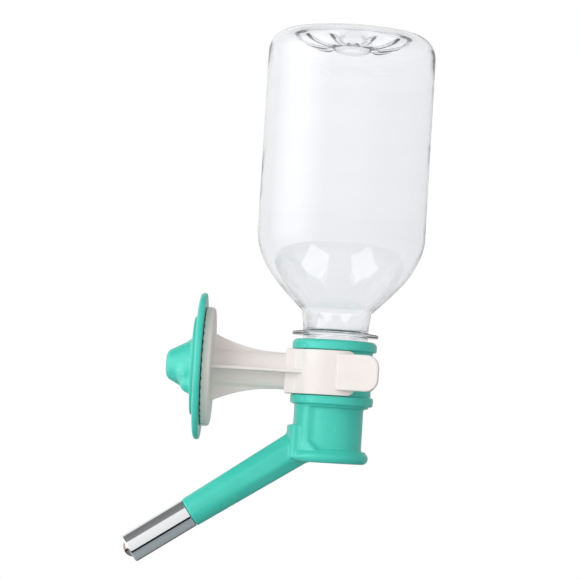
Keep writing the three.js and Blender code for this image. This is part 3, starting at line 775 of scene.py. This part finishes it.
# -------------------------------------------------- drinking tube and its valve
TUBE_R, TUBE_INNER, TUBE_EXPOSED, TUBE_LIP, LIP_THICK = 5.72, 5.25, 27.0, 3.65, 0.35
TUBE_TIP = SPOUT_LENGTH + TUBE_EXPOSED
BALL_R, COIL_R, WIRE_R, COIL_TURNS, COIL_STEPS, WIRE_SIDES = 4.0, 2.9, 0.3, 5, 40, 12
SEAT_FLANGE_R, SEAT_FLANGE, SEAT_SKIRT_R, SEAT_SKIRT, SEAT_HOLE = 4.8, 1.0, 3.25, 3.0, 2.2
SEAT_GAP, ORING_R, ORING_SECTION = 0.15, 4.72, 0.43
SEAL_INNER, SEAL_OUTER, SEAL_GROOVE, GROOVE_SIZE = 10.7, 12.4, 11.55, 0.35
seat_top = nipple_end + SEAT_GAP + SEAT_FLANGE
ball_at = TUBE_TIP - LIP_THICK - math.sqrt(BALL_R**2 - TUBE_LIP**2) - 0.03


def make_tube():
    root = SPOUT_LENGTH + 0.2
    outside = rounded(
        (TUBE_INNER, root, 0.1),
        (TUBE_R, root, 0.1),
        (TUBE_R, TUBE_TIP, 0.65),
        (TUBE_LIP, TUBE_TIP, 0.16),
        (TUBE_LIP, TUBE_TIP - LIP_THICK, 0.1),
        (TUBE_INNER, TUBE_TIP - LIP_THICK, 0.35),
        steps=6,
    )
    made = add_mesh("tube_sleeve", spout_frame, *lathe(dense_loop(outside, 2.0), TUBE_SIDES))
    even_normals(made)
    stands_for(made, "drinking_tube", polished)


def make_ball():
    bm = bmesh.new()
    bmesh.ops.create_icosphere(bm, subdivisions=5, radius=BALL_R)
    bm.verts.index_update()
    points = [v.co[:] for v in bm.verts]
    faces = [[v.index for v in f.verts] for f in bm.faces]
    bm.free()
    centre = Matrix.Translation(spout_frame @ Vector((0, 0, ball_at)))
    made = add_mesh("ball_polished", centre, points, faces)
    stands_for(made, "valve_ball", ball_steel)


def make_seat():
    seat = rounded(
        (SEAT_HOLE, nipple_end - SEAT_SKIRT, 0.15),
        (SEAT_SKIRT_R, nipple_end - SEAT_SKIRT, 0.3),
        (SEAT_SKIRT_R, nipple_end + SEAT_GAP, 0.15),
        (SEAT_FLANGE_R, nipple_end + SEAT_GAP, 0.2),
        (SEAT_FLANGE_R, seat_top, 0.25),
        (SEAT_HOLE, seat_top, 0.25),
        steps=4,
    )
    made = add_mesh("seat_moulding", spout_frame, *lathe(seat, SCREW_SIDES))
    even_normals(made)
    stands_for(made, "spring_seat", cream)


def make_o_ring():
    turn = np.linspace(0, 2 * math.pi, 28, endpoint=False)
    across, along = ORING_R + ORING_SECTION * np.cos(turn), gland + ORING_SECTION * np.sin(turn)
    made = add_mesh("o_ring_cord", spout_frame, *lathe(np.stack([across, along], 1), RING_SIDES))
    stands_for(made, "tube_o_ring", silicone)


def make_spring():
    """A coil from the seat to the ball, its wire thinned at both ends."""
    low = seat_top + WIRE_R + 0.1
    high = ball_at - math.sqrt(BALL_R**2 - COIL_R**2) - WIRE_R - 0.35
    steps, sides = COIL_TURNS * COIL_STEPS, WIRE_SIDES
    lean = (high - low) / (2 * math.pi * COIL_TURNS * COIL_R)
    points = []
    for i in range(steps + 1):
        t = i / steps
        a = 2 * math.pi * COIL_TURNS * t
        out = np.array([math.cos(a), math.sin(a), 0])
        along = np.array([-math.sin(a), math.cos(a), lean])
        up = np.cross(out, along / np.linalg.norm(along))
        centre = out * COIL_R + [0, 0, low + (high - low) * t]
        size = WIRE_R * (0.55 + 0.45 * min(1, min(t, 1 - t) * steps / 2.0))
        for k in range(sides):
            b = 2 * math.pi * k / sides
            points.append(centre + size * (out * math.cos(b) + up * math.sin(b)))
    faces = []
    for i in range(steps):
        for k in range(sides):
            m = (k + 1) % sides
            a, b = i * sides, (i + 1) * sides
            faces.append((a + k, a + m, b + m, b + k))
    faces.append(tuple(range(sides))[::-1])
    faces.append(tuple(range(steps * sides, (steps + 1) * sides)))
    made = add_mesh("spring_wire", spout_frame, points, faces)
    stands_for(made, "valve_spring", wire_steel)
    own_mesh(made)


def make_seal():
    profile = rounded(
        (SEAL_INNER, seal_low[2], 0.25),
        (SEAL_OUTER, seal_low[2], 0.25),
        (SEAL_OUTER, seal_high[2], 0.35),
        (SEAL_GROOVE + GROOVE_SIZE, seal_high[2], 0.1),
        (SEAL_GROOVE, seal_high[2] - GROOVE_SIZE, 0.15),
        (SEAL_GROOVE - GROOVE_SIZE, seal_high[2], 0.1),
        (SEAL_INNER, seal_high[2], 0.35),
        steps=3,
    )
    made = add_mesh("seal_ring", bottle_frame, *lathe(profile, RING_SIDES))
    even_normals(made)
    stands_for(made, "neck_seal", silicone)


# -------------------------------------------------- bracket and clip
CLIP_INNER, CLIP_OUTER, CLIP_LOW, CLIP_HIGH = 15.0, 16.95, -8.4, 8.6
CLIP_ROOT, CLIP_TIP, ROOT_LAP, SADDLE_X, SADDLE_HALF = 131.0, 61.0, 1.4, 31.4, 9.0
TAB_START, TAB_LENGTH, TAB_FLARE, TAB_THICK = 51.4, 16.2, 14.0, 2.2
TAB_HALF, TAB_MIDDLE, TAB_CORNER, TAB_OVERLAP, END_CORNER = 6.9, 0.5, 4.2, 1.1, 3.0
ARM_Z, ARM_Y, GUSSET_Z, GUSSET_END, GUSSET_AT, GUSSET_RISE = 7.0, 4.2, 13.4, 27.0, 13.0, 0.9
GUSSET_HALF, RIB_Y, RIB_HALF, RIB_END = 0.9, 12.6, 0.65, 38.3
DISC_R, DISC_THICK, TEETH, TOOTH_DEPTH, TOOTH_INNER = 22.8, 3.5, 40, 0.4, 19.6
STUD_HOLE_R, STUD_HOLE_END = 3.82, 12.2


def bracket_field():
    disc = section((-1, 0), (DISC_R, 0, 0.35), (DISC_R, DISC_THICK, 1.3), (-1, DISC_THICK), steps=6)
    upper = bezier(
        24,
        (DISC_THICK - 0.5, GUSSET_Z),
        (GUSSET_AT, ARM_Z + GUSSET_RISE),
        (GUSSET_END, ARM_Z - 0.1),
    )
    gusset = Outline(np.concatenate([upper, upper[::-1] * [1, -1]]))
    saddle_end = AXIS_X + CLIP_OUTER * math.cos(math.radians(CLIP_ROOT))

    def field(x, y, z):
        rho = hypot(y, z)
        angle = np.arctan2(y, z)
        wave = 0.5 - 0.5 * np.cos(TEETH * angle)
        depth = TOOTH_DEPTH * wave**1.5 * smoothstep(rho, TOOTH_INNER - 0.6, TOOTH_INNER + 0.8)
        solid = common(disc(rho, x), (depth - x) * 0.8, 0.3)
        k = hypot(y / ARM_Y, z / ARM_Z)
        core = k * (k - 1) / hypot(y / ARM_Y**2, z / ARM_Z**2)
        core = common(core, slab(x, 1.0, SADDLE_X + 1.0))
        web = common(gusset(x, z), np.abs(y) - GUSSET_HALF, 0.35)
        rib = common(slab(z, -RIB_HALF, RIB_HALF), np.abs(y) - RIB_Y, 0.4)
        rib = common(rib, slab(x, 1.0, RIB_END), 0.4)
        r = hypot(x - AXIS_X, y)
        tall = slab(z, CLIP_LOW, CLIP_HIGH)
        saddle = common(slab(x, SADDLE_X, saddle_end - 2), np.abs(y) - SADDLE_HALF, 0.6)
        band = common(r - CLIP_OUTER, x - saddle_end)
        clip = common(join(saddle, band, 0.5), tall, 0.45)
        solid = join(solid, core, 1.1)
        solid = join(solid, web, 0.6)
        solid = join(solid, clip, 0.5)
        solid = join(solid, rib, 0.35)
        solid = cut(solid, r - CLIP_INNER, 0.3)
        return cut(solid, common(rho - STUD_HOLE_R, x - STUD_HOLE_END), 0.2)

    return field


def make_bracket():
    low, high = bracket_low - MARGIN, bracket_high + MARGIN
    solid = net(bracket_field(), low, high, BRACKET_CELL)
    made = add_mesh("bracket_moulding", Matrix.Identity(4), *solid)
    stands_for(made, "bracket", cream)


def clip_field():
    start = math.radians(CLIP_ROOT + ROOT_LAP)
    tip = CLIP_OUTER * math.cos(math.radians(CLIP_TIP)) + 0.2
    behind = -30
    side = section(
        (behind, CLIP_LOW),
        (tip, CLIP_LOW, END_CORNER),
        (tip, CLIP_HIGH, END_CORNER),
        (behind, CLIP_HIGH),
        steps=8,
    )
    tab = section(
        (0, -TAB_HALF, 0.9),
        (TAB_LENGTH, -TAB_HALF, TAB_CORNER + 0.6),
        (TAB_LENGTH, TAB_HALF, TAB_CORNER + 0.6),
        (0, TAB_HALF, 0.9),
        steps=9,
    )
    flare = math.radians(TAB_FLARE)
    x0, y0 = TAB_START - AXIS_X, CLIP_OUTER - TAB_OVERLAP
    cos, sin = math.cos(flare), math.sin(flare)

    def field(x, y, z):
        r = hypot(x, y)
        band = common(slab(r, CLIP_INNER, CLIP_OUTER), side(x, z), 0.4)
        before = x * -math.sin(start) + y * math.cos(start)
        band = common(band, common(before, -y))
        along = (x - x0) * cos + (y - y0) * sin
        out = -(x - x0) * sin + (y - y0) * cos
        grip = common(tab(along, z - TAB_MIDDLE), slab(out, 0, TAB_THICK), 0.6)
        return cut(join(band, grip, 0.25), r - CLIP_INNER, 0.3)

    return field


def make_clip_arms():
    low, high = box_mm("clip_arm_rear")
    low, high = low - AXIS_SHIFT - CLIP_MARGIN, high - AXIS_SHIFT + CLIP_MARGIN
    points, faces, normals = net(clip_field(), low, high, CLIP_CELL)
    made = add_mesh("clip_finger_rear", bottle_frame, points, faces, normals)
    stands_for(made, "clip_arm_rear", cream)
    flip = np.array([1, -1, 1])
    mirrored = points * flip, faces[:, ::-1], normals * flip
    made = add_mesh("clip_finger_front", bottle_frame, *mirrored)
    stands_for(made, "clip_arm_front", cream)


# -------------------------------------------------- cage clamp
PLATE_R, PLATE_LOW, PLATE_HIGH, PLATE_FLAT, PLATE_HOLE = 28.1, 0.1, 3.0, 20.6, 6.8
PLATE_RIM, PLATE_BEVEL, RELIEF_R, RELIEF = 2.1, 25.6, 7.8, 1.2
STEP_R, STEP_LOW, STEP_HIGH = 18.85, 3.04, 4.2
HUB_R, HUB_LIP_R, HUB_LOW = 6.5, 7.3, 0.5
LOBE_AT, LOBE_R, WING_TURN = 12.7, 3.9, -33.0
BOSS_R, BOSS_TOP, BOSS_TOP_R, KNOB_REACH = 10.6, 14.6, 5.0, 20.2
STUD_ROOT, STUD_CREST, STUD_SHANK, STUD_END, STUD_DEPTH = 3.2, 3.9, 3.7, 9.4, 12.0
STUD_PITCH, STUD_START, INSERT_START = 2.0, 1.7, 2.7
INSERT_R, INSERT_LOW, INSERT_LENGTH, INSERT_BORE, INSERT_CREST = 5.1, 0.8, 7.4, 4.2, 3.5
INSERT_HIGH = INSERT_LOW + INSERT_LENGTH
KNURLS, KNURL_TWIST, KNURL_DEPTH = 24, 2.2, 0.16


def make_plate():
    profile = rounded(
        (RELIEF_R, PLATE_LOW, 0.2),
        (PLATE_R, PLATE_LOW, 0.6),
        (PLATE_R, PLATE_LOW + PLATE_RIM, 1.2),
        (PLATE_BEVEL, PLATE_HIGH - 0.25, 2.0),
        (PLATE_FLAT, PLATE_HIGH, 2.0),
        (PLATE_HOLE, PLATE_HIGH, 0.25),
        (PLATE_HOLE, PLATE_LOW + RELIEF, 0.2),
        (RELIEF_R, PLATE_LOW + RELIEF, 0.15),
        steps=6,
    )
    made = add_mesh("plate_moulding", clamp_frame, *lathe(dense_loop(profile, 1.5), BIG_SIDES))
    even_normals(made)
    stands_for(made, "clamp_plate", mint)


def knob_field():
    body = section(
        (-1, HUB_LOW),
        (HUB_LIP_R, HUB_LOW, 0.3),
        (HUB_LIP_R, HUB_LOW + 0.7, 0.25),
        (HUB_R, HUB_LOW + 0.9, 0.1),
        (HUB_R, STEP_LOW, 0.1),
        (STEP_R, STEP_LOW),
        (STEP_R, STEP_HIGH, 0.45),
        (-1, STEP_HIGH),
        steps=4,
        step=0.05,
    )
    boss = section(
        (-1, STEP_LOW),
        (BOSS_R + 0.4, STEP_LOW),
        (BOSS_TOP_R, BOSS_TOP - 0.4, 3.2),
        (-1, BOSS_TOP),
    )
    turn = math.radians(WING_TURN)
    bore_top = INSERT_HIGH + 0.15

    def field(x, y, z):
        a = x * math.cos(turn) + y * math.sin(turn)
        c = -x * math.sin(turn) + y * math.cos(turn)
        r = hypot(x, y)
        lobes = hypot(np.maximum(np.abs(a) - LOBE_AT, 0), c, z - STEP_HIGH - 0.1) - LOBE_R
        lobes = common(lobes, STEP_LOW + 0.3 - z)
        solid = join(body(r, z), join(lobes, boss(r, z), 3.0), 1.4)
        solid = common(solid, np.where(z > STEP_LOW, -1.0, body(r, z)))
        bore = common(r - INSERT_R - 0.12, z - bore_top)
        bore = join(bore, common(r - STUD_CREST - 0.3, z - STUD_END - 1))
        return cut(solid, bore, 0.15)

    return field


def make_knob():
    low, high = (-KNOB_REACH, -KNOB_REACH, -0.8), (KNOB_REACH, KNOB_REACH, 16)
    made = add_mesh("knob_moulding", clamp_frame, *net(knob_field(), low, high, KNOB_CELL))
    stands_for(made, "wing_knob", mint)


def screw_ridge(z, angle, start):
    """1 on the crest of the clamp's thread and 0 between its turns."""
    offset = np.abs(helix_offset(z, angle, start, STUD_PITCH))
    return 1 - smoothstep(offset, 0.2, 0.5)


def make_stud():
    def warp(r, z, angle):
        radius = np.full(len(angle), float(r))
        if r > STUD_ROOT - 0.05 and 1.0 < z < STUD_END - 0.5:
            ends = smoothstep(z, 1.2, 2.2) * (1 - smoothstep(z, STUD_END - 1.6, STUD_END - 0.7))
            radius = radius + (STUD_CREST - STUD_ROOT) * screw_ridge(z, angle, STUD_START) * ends
        return radius

    profile = rounded(
        (0, -STUD_DEPTH),
        (STUD_SHANK, -STUD_DEPTH, 0.5),
        (STUD_SHANK, 0.6, 0.15),
        (STUD_ROOT, 0.6, 0.1),
        (STUD_ROOT, STUD_END, 0.5),
        (0, STUD_END),
        steps=4,
    )
    made = add_mesh("stud_turned", clamp_frame, *lathe(dense(profile, 0.22), SCREW_SIDES, warp))
    stands_for(made, "clamp_stud", turned_steel)


def make_insert():
    def warp(r, z, angle):
        radius = np.full(len(angle), float(r))
        inset = min(z - INSERT_LOW, INSERT_HIGH - z)
        if abs(r - INSERT_BORE) < 0.02 and inset > 0.5:
            turns = (z - INSERT_START) / STUD_PITCH
            ends = float(smoothstep(turns, -0.4, 0.1) * (1 - smoothstep(turns, 2.0, 2.5)))
            ridge = screw_ridge(z, angle, INSERT_START) * ends
            radius = radius - (INSERT_BORE - INSERT_CREST) * ridge
        if abs(r - INSERT_R) < 0.02 and inset > 0.6:
            one, other = KNURLS * angle + KNURL_TWIST * z, KNURLS * angle - KNURL_TWIST * z
            radius = radius - KNURL_DEPTH * (0.5 + 0.5 * np.cos(one) * np.cos(other))
        return radius

    profile = rounded(
        (INSERT_BORE, INSERT_LOW, 0.2),
        (INSERT_R, INSERT_LOW, 0.3),
        (INSERT_R, INSERT_HIGH, 0.3),
        (INSERT_BORE, INSERT_HIGH, 0.2),
        steps=3,
    )
    solid = lathe(dense_loop(profile, 0.25), INSERT_SIDES, warp)
    made = add_mesh("insert_knurled", clamp_frame, *solid)
    stands_for(made, "knob_insert", brass)


make_bottle()
make_nozzle()
make_tube()
make_ball()
make_seat()
make_o_ring()
make_spring()
make_seal()
make_bracket()
make_clip_arms()
make_plate()
make_knob()
make_stud()
make_insert()


# -------------------------------------------------- studio
FLOOR_DROP, FLOOR_R, FLOOR_SIDES = 0.35, 5.0, 96
KEY_AT, KEY_SIZE, KEY_POWER = (-1.0, -1.4, 0.6), 1.0, 7
PANE_X, PANE_WIDE, PANE_Y, PANE_LONG, PANE_RISE, PANE_GLOW = 0.46, 0.22, -0.42, 0.34, 0.3, 1.6
LENS, SENSOR, EYE, AIM, ROLL = 170.0, 36.0, (0.050, -1.050, -0.026), (0.0313, 0.0, 0.0312), 3.5
WHITE = (1, 1, 1, 1)
across, up, left, left_front = (1, 0, 0), (0, 0, 1), (-0.9, -0.3, 0.1), (-0.66, -0.70, 0.26)

# Tones of the room at angles of lean towards an axis. Matt faces see soft light from the left front.
MATT = (
    (left_front, [(-90, 0.40), (-18, 0.50), (12, 0.66), (37, 0.92), (90, 1.30)]),
    (up, [(-90, (1.0, 0.98, 0.972)), (0, (1.0, 0.985, 0.98)), (60, (0.93, 0.915, 0.905))]),
)
# Gloss sees a grey floor, a black band, a white wall and a dark ceiling, brighter on the left.
FLOOR_GREY, HORIZON_GREY = (0.62, 0.68, 0.70), (0.36, 0.41, 0.43)
BANDS = [(-90, FLOOR_GREY), (-37, HORIZON_GREY), (-35, 0.01), (-25, 0.01), (-23, 1.0), (34, 1.0)]
GLOSS = (
    (up, [*BANDS, (40, 0.20), (90, 0.26)]),
    (left, [(-90, 0.55), (-30, 0.65), (10, 0.9), (45, 1.0), (65, 2.2), (90, 3.4)]),
)
# Clear plastic sees a room that darkens downwards and to both sides.
THROUGH = (
    (up, [(-90, 0.85), (-6, 0.87), (2, 0.90), (8, 0.97), (12, 1.0), (50, 1.05), (90, 1.05)]),
    (across, [(-90, 0.8), (-50, 0.88), (-18, 1.0), (18, 1.0), (50, 0.88), (90, 0.8)]),
)


class Room(Graph):
    """The world's light, painted by direction."""

    def __init__(self, tree):
        super().__init__(tree)
        self.direction = self.nodes.new("ShaderNodeTexCoord").outputs["Generated"]

    def ramp(self, axis, stops):
        """A tone that depends on how far a direction leans towards an axis, from -90 to 90 degrees."""
        lean = self.add("ShaderNodeVectorMath", self.direction, Vector(axis).normalized())
        lean.operation = "DOT_PRODUCT"
        share = self.add("ShaderNodeMapRange", Value=lean.outputs["Value"], From_Min=-1)
        ramp = self.add("ShaderNodeValToRGB", Fac=share.outputs["Result"])
        points = ramp.color_ramp.elements
        while len(points) > 1:
            points.remove(points[-1])
        for i, (angle, tone) in enumerate(stops):
            at = (math.sin(math.radians(angle)) + 1) / 2
            point = points[0] if i == 0 else points.new(at)
            point.position = at
            point.color = (*tone, 1) if isinstance(tone, tuple) else (tone, tone, tone, 1)
        return ramp.outputs["Color"]

    def background(self, strength, first, second):
        """Light from the product of two ramps."""
        product = self.add("ShaderNodeVectorMath", self.ramp(*first), self.ramp(*second))
        product.operation = "MULTIPLY"
        colour = product.outputs["Vector"]
        return self.add("ShaderNodeBackground", Color=colour, Strength=strength).outputs[0]

    def panes(self):
        """Two overhead panes, mirrored in the clear bottle's walls."""
        split = self.add("ShaderNodeSeparateXYZ", Vector=self.direction).outputs
        beside = self.maths("COMPARE", self.maths("ABSOLUTE", split["X"]), PANE_X, PANE_WIDE)
        along = self.maths("COMPARE", split["Y"], PANE_Y, PANE_LONG)
        above = self.maths("GREATER_THAN", split["Z"], PANE_RISE)
        share = self.maths("MULTIPLY", self.maths("MULTIPLY", beside, along), above)
        glow = self.maths("MULTIPLY", share, PANE_GLOW)
        return self.add("ShaderNodeBackground", Color=WHITE, Strength=glow).outputs[0]

    def mixed(self, is_kind, others, kind):
        """One light for rays of a kind, and another for all others."""
        return self.add("ShaderNodeMixShader", is_kind, others, kind).outputs[0]


def studio_light():
    """A room that is plain white to look at and lights matt, glossy and clear faces differently."""
    world = bpy.data.worlds.new("studio_world")
    bpy.context.scene.world = world
    world.use_nodes = True
    room = Room(world.node_tree)
    path = room.nodes.new("ShaderNodeLightPath").outputs
    plain = room.nodes["Background"]
    plain.inputs["Color"].default_value = WHITE
    clear = room.add("ShaderNodeAddShader", room.background(1.0, *THROUGH), room.panes())
    matt, gloss = room.background(1.0, *MATT), room.background(1.04, *GLOSS)
    lit = room.mixed(path["Is Glossy Ray"], matt, gloss)
    lit = room.mixed(path["Is Transmission Ray"], lit, clear.outputs[0])
    lit = room.mixed(path["Is Camera Ray"], lit, plain.outputs[0])
    room.feed(lit, room.nodes["World Output"].inputs["Surface"])


def studio_floor():
    mesh = bpy.data.meshes.new("studio_floor")
    turn = np.linspace(0, 2 * math.pi, FLOOR_SIDES, endpoint=False)
    ring = [(FLOOR_R * math.cos(a), FLOOR_R * math.sin(a), 0) for a in turn]
    mesh.from_pydata(ring, [], [tuple(range(FLOOR_SIDES))])
    floor = add_object("studio_floor", mesh)
    floor.location = (0, 0, cad_low.z - FLOOR_DROP)
    floor.visible_glossy = floor.visible_diffuse = False
    look = Look("studio_floor")
    tone = look.remap(look.noise(3, 2, 0.5), 0.3, 0.7)
    tone = look.mix(tone, (0.86, 0.86, 0.87, 1), (0.88, 0.88, 0.89, 1))
    look.set(Base_Color=tone, Roughness=0.9, Emission_Color=WHITE, Emission_Strength=0.2)
    floor.data.materials.append(look.material)


def turned_to(place, target):
    """The rotation of a lamp or camera at a place that looks at a target."""
    return (Vector(target) - Vector(place)).to_track_quat("-Z", "Y")


def softbox():
    """A square lamp that lights matt faces and isn't mirrored or seen through plastic."""
    data = bpy.data.lights.new("softbox_key", "AREA")
    data.shape, data.size, data.size_y = "RECTANGLE", KEY_SIZE, KEY_SIZE
    data.energy = KEY_POWER
    key = add_object("softbox_key", data)
    key.location = KEY_AT
    key.rotation_euler = turned_to(KEY_AT, (cad_low + cad_high) / 2).to_euler()
    key.visible_camera = key.visible_glossy = key.visible_transmission = False


def photo_camera():
    """The photo's view, rolled by the photo's tilt."""
    data = bpy.data.cameras.new("camera")
    data.lens, data.sensor_width = LENS, SENSOR
    data.clip_start, data.clip_end = 0.05, 20
    camera = add_object("camera", data)
    turned = turned_to(EYE, AIM).to_matrix().to_4x4() @ Matrix.Rotation(math.radians(ROLL), 4, "Z")
    camera.matrix_world = Matrix.Translation(EYE) @ turned
    bpy.context.scene.camera = camera


studio_light()
studio_floor()
softbox()
photo_camera()
bpy.context.scene.view_settings.view_transform = "Standard"
